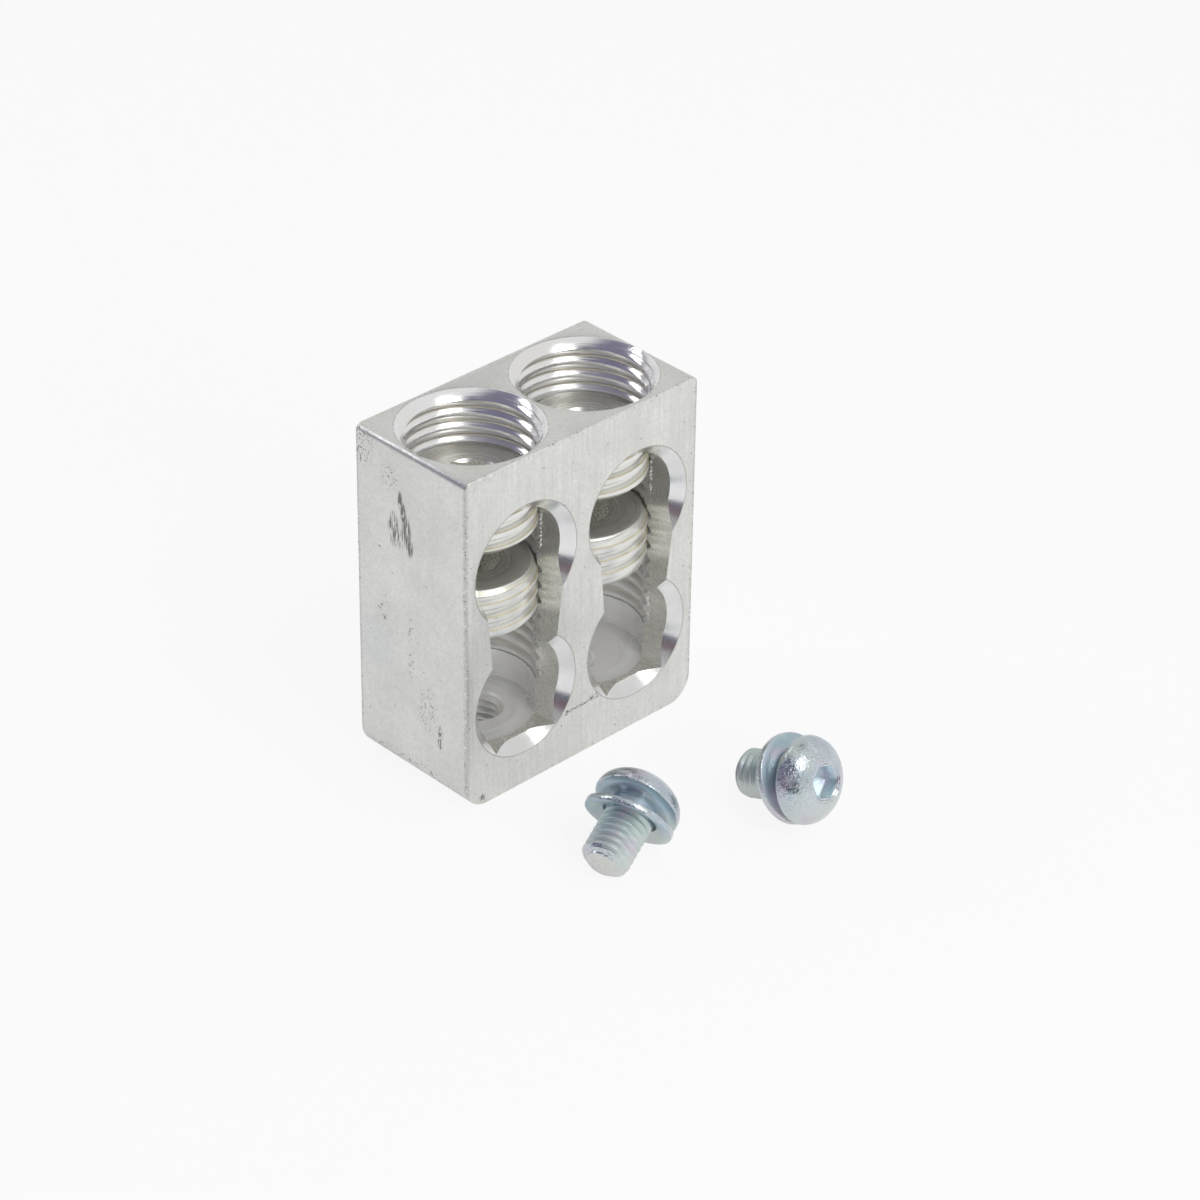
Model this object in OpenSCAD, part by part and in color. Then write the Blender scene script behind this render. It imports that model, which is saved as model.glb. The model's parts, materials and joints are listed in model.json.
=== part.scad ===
// Two-port mechanical lug: an aluminium block with two screw-clamped wire ports.
// Millimetres. X runs left to right, Y runs from the front face to the back, Z is up.
// The origin is the centre of the block's base.

/* [Block] */
// Width across the two ports
block_width = 49; // [40:0.5:70]
// Depth from the front face to the back
block_depth = 25; // [23:0.5:40]
// Height from the base to the top
block_height = 60; // [55:0.5:80]
// Radius of the two upper corners, seen from the front
top_corner = 1.25; // [0.5:0.25:4]
// Radius of the two lower corners, seen from the front
bottom_corner = 4.4; // [1:0.2:6]

/* [Screw bores] */
// Distance between the two vertical bores
bore_pitch = 23.9; // [22.5:0.1:40]
// Height of the turned floor of each bore
bore_floor = 8; // [5:0.1:12]
// Diameter of the drilled wall below the thread
drill_diameter = 19.8; // [18:0.1:22]
// Height where the thread ends above the floor
thread_end = 13; // [9:0.5:18]
// Diameter over the crests of the bore thread
bore_crest = 20.44; // [19:0.02:22]
// Diameter at the roots of the bore thread
bore_root = 22; // [21:0.1:24]
// Distance from one thread turn to the next
thread_pitch = 2.5; // [1:0.25:4]
// Half width of the flat between two thread grooves
thread_land = 0.3; // [0.1:0.05:0.5]
// Diameter of the chamfer at the mouth of each bore
mouth_diameter = 23.4; // [22:0.1:25]

/* [Wire ports] */
// Diameter of the two round holes of each port
port_diameter = 17.5; // [12:0.5:19]
// Diameter of the countersink on the front face
countersink_diameter = 21.1; // [18:0.1:23]
// Height of the upper round hole
upper_hole_z = 40.9; // [36:0.1:46]
// Height of the lower round hole
lower_hole_z = 16.6; // [14:0.1:20]
// Half width of the neck where it leaves the upper hole
neck_top_half = 8.4; // [6:0.1:8.6]
// Left half width of the neck where it meets the lower hole
neck_bottom_left = 6.8; // [4:0.1:8]
// Right half width of the neck where it meets the lower hole
neck_bottom_right = 6.3; // [4:0.1:8]
// Height of the flat floor of the port
port_floor = 8.2; // [7:0.1:12]
// Half width of the flat floor of the port
port_floor_half = 6.2; // [4:0.1:8]
// Where the slopes beside the flat floor meet the hole, as a share of its radius
floor_side_share = 0.93; // [0.9:0.01:0.98]

/* [Mounting holes] */
// Position of the left tapped hole in the base
left_hole_x = -10.9; // [-15:0.1:-8]
// Distance between the two tapped holes
hole_pitch = 20; // [15:0.5:26]
// Diameter of the tapped wall
tapped_diameter = 6.8; // [5:0.1:9]
// Diameter of the countersink at the inner end
tapped_mouth = 8.8; // [8:0.1:12]

/* [Set screws] */
// Length of each set screw
set_length = 9; // [6:0.5:14]
// Diameter over the crests of the set screw thread
set_crest = 20.3; // [19:0.02:21.5]
// Diameter at the roots of the set screw thread
set_root = 18.9; // [17:0.1:20]
// Diameter of the flat end faces
set_face = 18.4; // [16:0.1:20]
// Hexagon socket, across the flats
set_socket = 8; // [5:0.5:12]
// Depth of the hexagon socket
set_socket_depth = 5.4; // [3:0.1:8]
// Chamfer around the hexagon socket
set_socket_chamfer = 0.6; // [0.1:0.1:1]
// Depth of the left upper set screw below the top of the block
upper_left_depth = 8.4; // [4:0.1:11]
// Depth of the right upper set screw below the top of the block
upper_right_depth = 8.7; // [4:0.1:11]
// Depth of the left lower set screw below the top of the block
lower_left_depth = 23.9; // [22:0.1:30]
// Depth of the right lower set screw below the top of the block
lower_right_depth = 24.6; // [22:0.1:30]

/* [Mounting screws] */
// Thread diameter of the mounting screws
shank_diameter = 7.9; // [5:0.1:10]
// Length under the head
shank_length = 12; // [8:0.5:25]
// Length of the chamfer at the tip
tip_chamfer = 0.95; // [0.5:0.05:2]
// Diameter of the flat tip
tip_diameter = 5.5; // [3:0.1:7]
// Diameter of the domed head
head_diameter = 14; // [10:0.5:18]
// Height of the domed head
head_height = 4.4; // [3:0.1:6]
// Height of the straight rim of the head
head_rim = 0.35; // [0.2:0.05:1]
// Diameter of the flat ring around the socket
head_flat = 6.1; // [5:0.1:8]
// Hexagon socket of the head, across the flats
head_socket = 5; // [3:0.5:8]
// Depth of the hexagon socket of the head
head_socket_depth = 2.6; // [2:0.1:4]
// Chamfer around the hexagon socket of the head
head_socket_chamfer = 0.4; // [0.1:0.1:0.5]
// How far a loose screw tilts up from the surface it lies on
screw_tilt = 18.5; // [14:0.1:30]
// Place of the left loose screw, under its head, from the middle of the front face
left_screw_at = [-10.9, -23.8];
// Heading of the left loose screw, from the tip to the head
left_screw_heading = 19; // [-180:1:180]
// Place of the right loose screw, under its head, from the middle of the front face
right_screw_at = [13.4, -36.5];
// Heading of the right loose screw, from the tip to the head
right_screw_heading = -84; // [-180:1:180]

/* [Conical washers] */
// Outside diameter of the washer
washer_diameter = 14.5; // [13:0.1:20]
// Hole through the washer
washer_hole = 9; // [8.4:0.1:11]
// Thickness at the rim
washer_rim = 1.15; // [0.6:0.05:2]
// Height from the rim to the raised centre
washer_height = 1.85; // [1.5:0.05:3]
// Broken edges of the washer
washer_edge = 0.15; // [0.05:0.05:0.3]
// Tilt of the loose washer from the surface it stands on
washer_tilt = 32.5; // [15:0.5:45]
// Distance from under the head to the rim plane of the washer
washer_offset = 3; // [2:0.1:8]

/* [Hidden] */
$fn = 96;
eps = 0.01;
over = 1;
front = -block_depth / 2;
bore_x = bore_pitch / 2;
port_r = port_diameter / 2;
sink_r = countersink_diameter / 2;
sink_depth = sink_r - port_r;
right_hole_x = left_hole_x + hole_pitch;
tapped_sink = (tapped_mouth - tapped_diameter) / 2;
mouth_depth = (mouth_diameter - bore_crest) / 2;
bore_turns = floor((block_height - mouth_depth - thread_end) / thread_pitch);
neck_top_z = upper_hole_z - sqrt(pow(port_r, 2) - pow(neck_top_half, 2));
neck_left_z = lower_hole_z + sqrt(pow(port_r, 2) - pow(neck_bottom_left, 2));
neck_right_z = lower_hole_z + sqrt(pow(port_r, 2) - pow(neck_bottom_right, 2));
floor_side_half = floor_side_share * port_r;
floor_side_z = lower_hole_z - sqrt(pow(port_r, 2) - pow(floor_side_half, 2));
set_chamfer = (set_crest - set_face) / 2;
set_turns = floor((set_length - set_chamfer) / thread_pitch);
set_thread_start = (set_length - set_turns * thread_pitch) / 2;
dome_drop = (pow(head_flat / 2, 2) + pow(head_height, 2) - pow(head_diameter / 2, 2)
    - pow(head_rim, 2)) / (2 * (head_height - head_rim));
dome_r = sqrt(pow(head_flat / 2, 2) + pow(head_height - dome_drop, 2));
screw_lift = (shank_length - tip_chamfer) * sin(screw_tilt) + shank_diameter / 2 * cos(screw_tilt);

// One rounded corner to cut off, at the origin, with the block towards +X and +Z
module corner_cut(r) {
    difference() {
        translate([-over, front - over, -over]) cube([r + over, block_depth + 2 * over, r + over]);
        translate([r, front - 2 * over, r]) rotate([-90, 0, 0])
            cylinder(h = block_depth + 4 * over, r = r);
    }
}

// The outer form of the block, before any hole
module block_form() {
    difference() {
        translate([-block_width / 2, front, 0]) cube([block_width, block_depth, block_height]);
        for (side = [-1, 1]) scale([side, 1, 1]) {
            translate([-block_width / 2, 0, 0]) corner_cut(bottom_corner);
            translate([-block_width / 2, 0, block_height]) scale([1, 1, -1]) corner_cut(top_corner);
        }
    }
}

// The outline of some ring grooves, one above another, from the crest radius to the root radius
function grooves(crest, root, start, turns) = [
    for (i = [0:turns - 1], point = [[crest, thread_land], [root, (thread_pitch - thread_land) / 2],
        [root, (thread_pitch + thread_land) / 2], [crest, thread_pitch - thread_land]])
        [point[0], start + i * thread_pitch + point[1]]];

// The threaded space of one bore, with its drilled end and its mouth chamfer
module bore_space() {
    drill = drill_diameter / 2;
    mouth = mouth_diameter / 2;
    top = block_height + over;
    rotate_extrude() polygon(concat([[0, bore_floor], [drill, bore_floor], [drill, thread_end]],
        grooves(bore_crest / 2, bore_root / 2, thread_end, bore_turns),
        [[bore_crest / 2, block_height - mouth_depth], [mouth, block_height], [mouth, top], [0, top]]));
}

// A round hole of a port, cut in from the front face to the bore axis
module port_hole(z) {
    translate([0, front - eps, z]) rotate([-90, 0, 0]) {
        cylinder(h = block_depth / 2, r = port_r);
        cylinder(h = sink_depth + eps, r1 = sink_r + eps, r2 = port_r);
    }
}

// The waist between the two round holes and the flat floor under them
module port_waist() {
    rotate([90, 0, 0]) linear_extrude(-front + over) {
        polygon([[-neck_bottom_left, neck_left_z], [0, lower_hole_z], [neck_bottom_right, neck_right_z],
            [neck_top_half, neck_top_z], [-neck_top_half, neck_top_z]]);
        polygon([[-port_floor_half, port_floor], [port_floor_half, port_floor],
            [floor_side_half, floor_side_z], [-floor_side_half, floor_side_z]]);
    }
}

// One wire port: two countersunk holes joined by the waist
module port_space() {
    port_hole(upper_hole_z);
    difference() {
        port_hole(lower_hole_z);
        translate([-port_r, front + sink_depth, port_floor - port_r])
            cube([2 * port_r, block_depth, port_r]);
    }
    port_waist();
}

// A tapped hole through the base, countersunk at its inner end
module tapped_space() {
    translate([0, 0, -over]) cylinder(h = bore_floor + 2 * over, r = tapped_diameter / 2);
    translate([0, 0, bore_floor - tapped_sink])
        cylinder(h = tapped_sink + eps, r1 = tapped_diameter / 2, r2 = tapped_mouth / 2 + eps);
}

module lug_block() {
    color([0.83, 0.83, 0.81]) difference() {
        block_form();
        for (x = [-bore_x, bore_x]) translate([x, 0, 0]) {
            bore_space();
            port_space();
        }
        translate([left_hole_x, 0, 0]) tapped_space();
        translate([right_hole_x, 0, 0]) tapped_space();
    }
}

// A set screw with its top face at the depth given, below the top of the block
module set_screw(x, depth) {
    crest = set_crest / 2;
    face = set_face / 2;
    socket = set_socket / 2;
    color([0.8, 0.79, 0.76]) translate([x, 0, block_height - depth - set_length]) difference() {
        rotate_extrude() polygon(concat([[0, 0], [face, 0], [crest, set_chamfer]],
            grooves(crest, set_root / 2, set_thread_start, set_turns),
            [[crest, set_length - set_chamfer], [face, set_length], [0, set_length]]));
        translate([0, 0, set_length - set_socket_depth]) rotate(30)
            cylinder(h = set_socket_depth + over, r = socket / cos(30), $fn = 6);
        translate([0, 0, set_length - set_socket_chamfer])
            cylinder(h = set_socket_chamfer + eps, r1 = socket, r2 = socket + set_socket_chamfer + eps);
    }
}

module upper_set_screw_left() set_screw(-bore_x, upper_left_depth);
module upper_set_screw_right() set_screw(bore_x, upper_right_depth);
module lower_set_screw_left() set_screw(-bore_x, lower_left_depth);
module lower_set_screw_right() set_screw(bore_x, lower_right_depth);

// A domed socket screw, head up, with the underside of its head at the origin
module mounting_screw() {
    socket = head_socket / 2;
    color([0.72, 0.77, 0.8]) difference() {
        union() {
            cylinder(h = head_rim, d = head_diameter);
            intersection() {
                translate([0, 0, dome_drop]) sphere(dome_r);
                translate([0, 0, head_rim]) cylinder(h = head_height - head_rim, d = head_diameter);
            }
            translate([0, 0, tip_chamfer - shank_length])
                cylinder(h = shank_length - tip_chamfer + eps, d = shank_diameter);
            translate([0, 0, -shank_length])
                cylinder(h = tip_chamfer, d1 = tip_diameter, d2 = shank_diameter);
        }
        translate([0, 0, head_height - head_socket_depth])
            cylinder(h = head_socket_depth + over, r = socket / cos(30), $fn = 6);
        translate([0, 0, head_height - head_socket_chamfer])
            cylinder(h = head_socket_chamfer + eps, r1 = socket, r2 = socket + head_socket_chamfer + eps);
    }
}

// Lays a screw on its tip and its washer, with the head towards the heading
module lying_screw(at, heading) {
    translate([at[0], front + at[1], screw_lift]) rotate([0, 90 - screw_tilt, heading]) mounting_screw();
}

module mounting_screw_left() lying_screw(left_screw_at, left_screw_heading);
module mounting_screw_right() lying_screw(right_screw_at, right_screw_heading);

// A conical washer with its rim plane at the origin and its raised centre upwards
module conical_washer() {
    edge = washer_edge;
    rim = washer_diameter / 2;
    hole = washer_hole / 2;
    middle = (rim + hole) / 2;
    lift = washer_height - washer_rim;
    color([0.74, 0.79, 0.81]) rotate_extrude() polygon([
        [rim - edge, 0], [rim, edge], [rim, washer_rim - edge], [rim - edge, washer_rim],
        [middle, washer_rim + edge], [hole + 3 * edge, washer_height - edge],
        [hole + edge, washer_height], [hole, washer_height - edge], [hole, lift + edge],
        [hole + 3 * edge, lift - edge], [middle, edge]]);
}

// Stands a washer on its rim, leaning against the screw that passes through it
module lying_washer(at, heading) {
    translate([at[0], front + at[1], 0]) rotate(heading)
        translate([-washer_offset * cos(screw_tilt), 0, washer_diameter / 2 * cos(washer_tilt)])
            rotate([0, 90 - washer_tilt, 0]) conical_washer();
}

module conical_washer_left() lying_washer(left_screw_at, left_screw_heading);
module conical_washer_right() lying_washer(right_screw_at, right_screw_heading);

lug_block();
upper_set_screw_left();
upper_set_screw_right();
lower_set_screw_left();
lower_set_screw_right();
mounting_screw_left();
mounting_screw_right();
conical_washer_left();
conical_washer_right();
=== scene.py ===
# Looks of the mechanical lug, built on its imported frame. Shapes and patterns are in
# millimetres; each finished piece is brought to the frame's metres.
import json
import math
from functools import reduce
from types import SimpleNamespace

import bmesh
import bpy
from mathutils import Matrix, Vector


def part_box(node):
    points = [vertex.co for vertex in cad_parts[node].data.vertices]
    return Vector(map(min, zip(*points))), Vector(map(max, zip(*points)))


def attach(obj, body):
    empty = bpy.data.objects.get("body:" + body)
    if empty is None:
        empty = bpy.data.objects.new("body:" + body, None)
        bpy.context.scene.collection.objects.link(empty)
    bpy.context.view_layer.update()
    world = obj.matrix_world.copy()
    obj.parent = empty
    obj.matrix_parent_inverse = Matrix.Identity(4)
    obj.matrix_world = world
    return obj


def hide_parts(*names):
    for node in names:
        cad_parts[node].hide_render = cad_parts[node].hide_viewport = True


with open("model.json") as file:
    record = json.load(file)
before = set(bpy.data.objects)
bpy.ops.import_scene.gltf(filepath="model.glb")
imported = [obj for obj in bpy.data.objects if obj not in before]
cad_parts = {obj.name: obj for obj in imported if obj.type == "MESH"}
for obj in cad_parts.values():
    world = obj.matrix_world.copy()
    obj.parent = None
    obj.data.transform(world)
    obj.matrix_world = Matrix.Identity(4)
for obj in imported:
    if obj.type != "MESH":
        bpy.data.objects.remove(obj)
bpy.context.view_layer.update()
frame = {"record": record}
MM = 0.001

# Lug block
# One length of extruded aluminium bar, sawn square, drilled and tapped from above for
# the set screws and from below for the mounting screws, milled open at the front for
# the wires, deburred and plated with matte tin.
block_low, block_high = (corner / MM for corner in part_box("lug_block"))
left, front, bottom = block_low
right, back, top = block_high
top_corner = 1.25
bottom_corner = 4.4
edge_break = 0.3
bore_pitch_line = 2.5
bore_crest = 10.22
bore_root = 11.0
bore_mouth = 11.7
drill_radius = 9.9
drill_floor = 8.0
thread_end = 13.0
port_radius = 8.75
sink_radius = 10.55
upper_hole = 40.9
lower_hole = 16.6
waist_top_half = 8.4
waist_bottom_left = 6.8
waist_bottom_right = 6.3
port_floor = 8.2
port_floor_half = 6.2
mount_pitch = 1.25
mount_crest = 3.4
mount_root = 4.05
mount_mouth = 4.4


def bore_axis(node):
    low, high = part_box(node)
    return Vector(((low.x + high.x) / 2, (low.y + high.y) / 2, 0)) / MM


bore_axes = {side: bore_axis(f"lower_set_screw_{side}") for side in ("left", "right")}
holes = next(m for m in frame["record"]["mounts"] if m["name"] == "mounting_holes")
half_spacing = holes["dims"]["spacing_x_mm"] / 2
hole_axes = [Vector((holes["pos_m"][0] / MM + s * half_spacing, holes["pos_m"][1] / MM, 0)) for s in (-1, 1)]


def modifier_tree(name, inputs, output):
    """A new Geometry Nodes tree with its sockets; returns it with the outlets of its input node."""
    tree = bpy.data.node_groups.new(name, "GeometryNodeTree")
    for label, kind in inputs:
        tree.interface.new_socket(label, in_out="INPUT", socket_type=f"NodeSocket{kind}")
    tree.interface.new_socket(output, in_out="OUTPUT", socket_type="NodeSocketGeometry")
    return tree, tree.nodes.new("NodeGroupInput").outputs


def thread_tree(name, outline):
    """A grid wound into a right-hand screw surface; outline lists shares of pitch and depth."""
    inputs = (("Crest", "Float"), ("Root", "Float"), ("Pitch", "Float"), ("Start", "Float"),
              ("Turns", "Int"), ("Steps", "Int"), ("Finish", "Material"))
    tree, given = modifier_tree(name, inputs, "Thread")

    def wire(socket, value):
        if isinstance(value, bpy.types.NodeSocket):
            tree.links.new(value, socket)
        else:
            socket.default_value = value

    def calc(operation, *values):
        node = tree.nodes.new("ShaderNodeMath")
        node.operation = operation
        for socket, value in zip(node.inputs, values):
            wire(socket, value)
        return node.outputs[0]

    def pick(index, values):
        node = tree.nodes.new("GeometryNodeIndexSwitch")
        node.data_type = "FLOAT"
        for _ in range(len(values) - 2):
            node.index_switch_items.new()
        wire(node.inputs[0], index)
        for socket, value in zip(list(node.inputs)[1:], values):
            wire(socket, value)
        return node.outputs[0]

    rows = calc("MULTIPLY", given["Turns"], len(outline))
    grid = tree.nodes.new("GeometryNodeMeshGrid")
    wire(grid.inputs["Vertices X"], calc("ADD", given["Steps"], 1))
    wire(grid.inputs["Vertices Y"], calc("ADD", rows, 1))
    place = tree.nodes.new("ShaderNodeSeparateXYZ")
    wire(place.inputs[0], tree.nodes.new("GeometryNodeInputPosition").outputs[0])
    turn = calc("ADD", place.outputs["X"], 0.5)
    row = calc("ROUND", calc("MULTIPLY", calc("ADD", place.outputs["Y"], 0.5), rows))
    step = calc("MODULO", row, len(outline))
    lift = calc("ADD", calc("FLOOR", calc("DIVIDE", calc("ADD", row, 0.5), len(outline))),
                pick(step, [point[0] for point in outline]))
    depth = calc("SUBTRACT", given["Crest"], given["Root"])
    radius = calc("ADD", given["Root"], calc("MULTIPLY", depth, pick(step, [point[1] for point in outline])))
    angle = calc("MULTIPLY", turn, 2 * math.pi)
    wound = tree.nodes.new("ShaderNodeCombineXYZ")
    wire(wound.inputs["X"], calc("MULTIPLY", radius, calc("COSINE", angle)))
    wire(wound.inputs["Y"], calc("MULTIPLY", radius, calc("SINE", angle)))
    climb = calc("MULTIPLY", calc("ADD", lift, turn), given["Pitch"])
    wire(wound.inputs["Z"], calc("ADD", given["Start"], climb))
    move = tree.nodes.new("GeometryNodeSetPosition")
    wire(move.inputs["Geometry"], grid.outputs["Mesh"])
    wire(move.inputs["Position"], wound.outputs[0])
    close = tree.nodes.new("GeometryNodeMergeByDistance")
    wire(close.inputs["Geometry"], move.outputs[0])
    wire(close.inputs["Distance"], 1e-4)
    real = tree.nodes.new("GeometryNodeRealizeInstances")
    wire(real.inputs[0], close.outputs[0])
    finish = tree.nodes.new("GeometryNodeSetMaterial")
    wire(finish.inputs["Geometry"], real.outputs[0])
    wire(finish.inputs["Material"], given["Finish"])
    wire(tree.nodes.new("NodeGroupOutput").inputs[0], finish.outputs[0])
    return tree


def shape_of(name, mesh):
    shape = bpy.data.objects.new(name, mesh)
    bpy.context.scene.collection.objects.link(shape)
    return shape


def settle(shape):
    """Turns an object's live modifiers into plain mesh."""
    depsgraph = bpy.context.evaluated_depsgraph_get()
    mesh = bpy.data.meshes.new_from_object(shape.evaluated_get(depsgraph), depsgraph=depsgraph)
    shape.modifiers.clear()
    shape.data = mesh
    return shape


def grow(shape, tree, sizes):
    """Runs a Geometry Nodes tree on a shape and keeps the result as plain mesh."""
    growth = shape.modifiers.new(tree.name, "NODES")
    growth.node_group = tree
    for item in tree.interface.items_tree:
        if item.in_out == "INPUT" and item.name in sizes:
            growth[item.identifier] = sizes[item.name]
    return settle(shape)


def solid(name, shape, *finishes):
    """An object from a closed bmesh, with its finishes."""
    bmesh.ops.recalc_face_normals(shape, faces=shape.faces)
    mesh = bpy.data.meshes.new(name)
    shape.to_mesh(mesh)
    shape.free()
    for finish in finishes:
        mesh.materials.append(finish)
    return shape_of(name, mesh)


def threaded_rod(name, tree, crest, root, pitch, low, high, ridge, finish, steps=96):
    """A closed rod with a helical thread and flat ends; one ridge passes angle 0 at the height given."""
    start = ridge + pitch * math.floor((low - ridge) / pitch - 1.1)
    turns = math.ceil((high - start) / pitch) + 1
    rod = grow(shape_of(name, bpy.data.meshes.new(name)), tree,
               {"Crest": crest, "Root": root, "Pitch": pitch, "Start": start, "Turns": turns,
                "Steps": steps, "Finish": finish})
    cut = bmesh.new()
    cut.from_mesh(rod.data)
    for height, way in ((low, -1), (high, 1)):
        parts = cut.verts[:] + cut.edges[:] + cut.faces[:]
        bmesh.ops.bisect_plane(cut, geom=parts, plane_co=(0, 0, height), plane_no=(0, 0, way),
                               clear_outer=True)
        rim = [e for e in cut.edges if e.is_boundary and abs(e.verts[0].co.z - height) < 1e-4]
        bmesh.ops.edgeloop_fill(cut, edges=rim)
    bmesh.ops.recalc_face_normals(cut, faces=cut.faces)
    cut.to_mesh(rod.data)
    cut.free()
    return rod


def turned(name, outline, finish, steps=96):
    """A closed solid turned about Z; the outline runs from the axis at the bottom to the axis at the top."""
    shape = bmesh.new()
    rings = []
    for radius, height in outline:
        if radius == 0:
            rings.append([shape.verts.new((0, 0, height))])
        else:
            angles = [2 * math.pi * i / steps for i in range(steps)]
            rings.append([shape.verts.new((radius * math.cos(a), radius * math.sin(a), height))
                          for a in angles])
    for lower, upper in zip(rings, rings[1:]):
        for i in range(steps):
            j = (i + 1) % steps
            corners = [lower[i % len(lower)], lower[j % len(lower)],
                       upper[j % len(upper)], upper[i % len(upper)]]
            shape.faces.new(list(dict.fromkeys(corners)))
    return solid(name, shape, finish)


def drawn(name, outline, start, end, finish, along="Y"):
    """A closed prism: an outline in XZ drawn along Y, or an outline in XY drawn along Z."""
    shape = bmesh.new()
    ends = [[shape.verts.new((a, t, b) if along == "Y" else (a, b, t)) for a, b in outline]
            for t in (start, end)]
    for i in range(len(outline)):
        j = (i + 1) % len(outline)
        shape.faces.new((ends[0][i], ends[0][j], ends[1][j], ends[1][i]))
    shape.faces.new(ends[0])
    shape.faces.new(ends[1])
    return solid(name, shape, finish)


def place(shape, matrix):
    shape.data.transform(matrix)
    shape.data.update()
    return shape


def carve(shape, tool, operation="DIFFERENCE"):
    """Cuts a tool out of a shape; the new faces take the tool's finish."""
    cut = shape.modifiers.new("carve", "BOOLEAN")
    cut.operation = operation
    cut.solver = "EXACT"
    cut.material_mode = "TRANSFER"
    cut.object = tool
    settle(shape)
    bpy.data.objects.remove(tool)
    return shape


def finished(shape, angle=32):
    """Shades a shape and brings it from millimetres to the frame's metres."""
    place(shape, Matrix.Scale(MM, 4))
    for polygon in shape.data.polygons:
        polygon.use_smooth = True
    shape.data.set_sharp_from_angle(angle=math.radians(angle))
    return shape


def arc(x, z, radius, start, end, steps):
    angles = [math.radians(start + (end - start) * i / steps) for i in range(steps + 1)]
    return [(x + radius * math.cos(a), z + radius * math.sin(a)) for a in angles]


def finish_kit(name):
    """A new node material and ways to add nodes to it; patterns read Object coordinates, in millimetres."""
    material = bpy.data.materials.new(name)
    material.use_nodes = True
    tree = material.node_tree
    shader = tree.nodes["Principled BSDF"]

    def wire(socket, value):
        if isinstance(value, bpy.types.NodeSocket):
            tree.links.new(value, socket)
        else:
            socket.default_value = value

    def add(kind, settings=None, **values):
        node = tree.nodes.new(f"ShaderNode{kind}")
        for key, value in (settings or {}).items():
            setattr(node, key, value)
        for key, value in values.items():
            wire(node.inputs[key.replace("_", " ")], value)
        return node

    to_mm = (1 / MM, 1 / MM, 1 / MM)
    where = add("Mapping", Vector=add("TexCoord").outputs["Object"], Scale=to_mm).outputs[0]

    def calc(operation, *values):
        node = add("Math", {"operation": operation})
        for socket, value in zip(node.inputs, values):
            wire(socket, value)
        return node.outputs[0]

    def ramp(value, low, high, start=0.0, end=1.0):
        return add("MapRange", Value=value, From_Min=low, From_Max=high, To_Min=start, To_Max=end).outputs[0]

    def noise(scale, stretch=(1, 1, 1), detail=3.0, roughness=0.5):
        mapped = add("Mapping", Vector=where, Scale=stretch).outputs[0]
        return add("TexNoise", Vector=mapped, Scale=scale, Detail=detail, Roughness=roughness).outputs[0]

    def distance(centre, scale):
        """Distance from a point, scaled along each axis; a scale of 0 makes it the distance from a line."""
        moved = add("Mapping", Vector=where, Scale=scale, Location=[-c * k for c, k in zip(centre, scale)])
        far = add("VectorMath", {"operation": "LENGTH"})
        wire(far.inputs[0], moved.outputs[0])
        return far.outputs["Value"]

    def patch(centre, size):
        """1 in the middle of an oval patch, falling to 0 at its edge."""
        return ramp(distance(centre, [1 / s for s in size]), 0.55, 1.0, 1.0, 0.0)

    def gap(value, middle):
        return calc("ABSOLUTE", calc("SUBTRACT", value, middle))

    def near(value, middle, inner, outer):
        """1 within inner of a middle value, falling to 0 at outer."""
        return ramp(gap(value, middle), inner, outer, 1.0, 0.0)

    def join(operation, values):
        """The least or the greatest of many values."""
        return reduce(lambda first, second: calc(operation, first, second), values)

    def mix(factor, first, second, blend="MIX"):
        return add("MixRGB", {"blend_type": blend}, Fac=factor, Color1=first, Color2=second).outputs[0]

    def bump(height, strength, distance, under=None):
        node = add("Bump", Strength=strength, Distance=distance * MM, Height=height)
        if under is not None:
            wire(node.inputs["Normal"], under)
        return node.outputs[0]

    def split(vector):
        return add("SeparateXYZ", Vector=vector).outputs

    def coat(colour, roughness, metallic, normal):
        """Puts the patterns on the shader and hands over the material."""
        for label, value in (("Base Color", colour), ("Roughness", roughness), ("Metallic", metallic),
                             ("Normal", normal)):
            wire(shader.inputs[label], value)
        return material

    return SimpleNamespace(where=where, add=add, calc=calc, ramp=ramp, noise=noise, distance=distance,
                           patch=patch, gap=gap, near=near, join=join, mix=mix, bump=bump, split=split,
                           coat=coat)


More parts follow.
